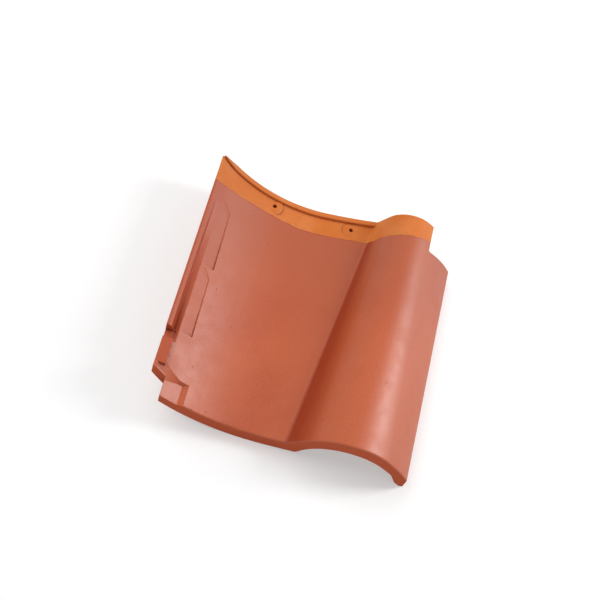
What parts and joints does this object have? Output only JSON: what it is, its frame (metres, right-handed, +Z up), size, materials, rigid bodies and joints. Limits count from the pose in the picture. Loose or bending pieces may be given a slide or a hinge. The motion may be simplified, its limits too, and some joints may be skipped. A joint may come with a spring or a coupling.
{
  "type": "clay roof tile",
  "caption": "S-section interlocking clay pantile with a hollow pan, a tapering roll, side-lap channel, corner notches, nail holes and a hanging nib.",
  "frame": {"origin": "centre of the bounding box's base: the floor under the middle of the tile as it lies", "axes": "+Y up the roof, from the front face to the back edge; +X from the left rim to the drip edge; +Z up"},
  "size_m": [0.3048, 0.305, 0.072],
  "materials": {
    "fired_clay": "fired clay with a satin orange-brown slip on top and bare clay along the back edge"
  },
  "bodies": {
    "root": {"roof_tile": "fired_clay"}
  },
  "joints": []
}
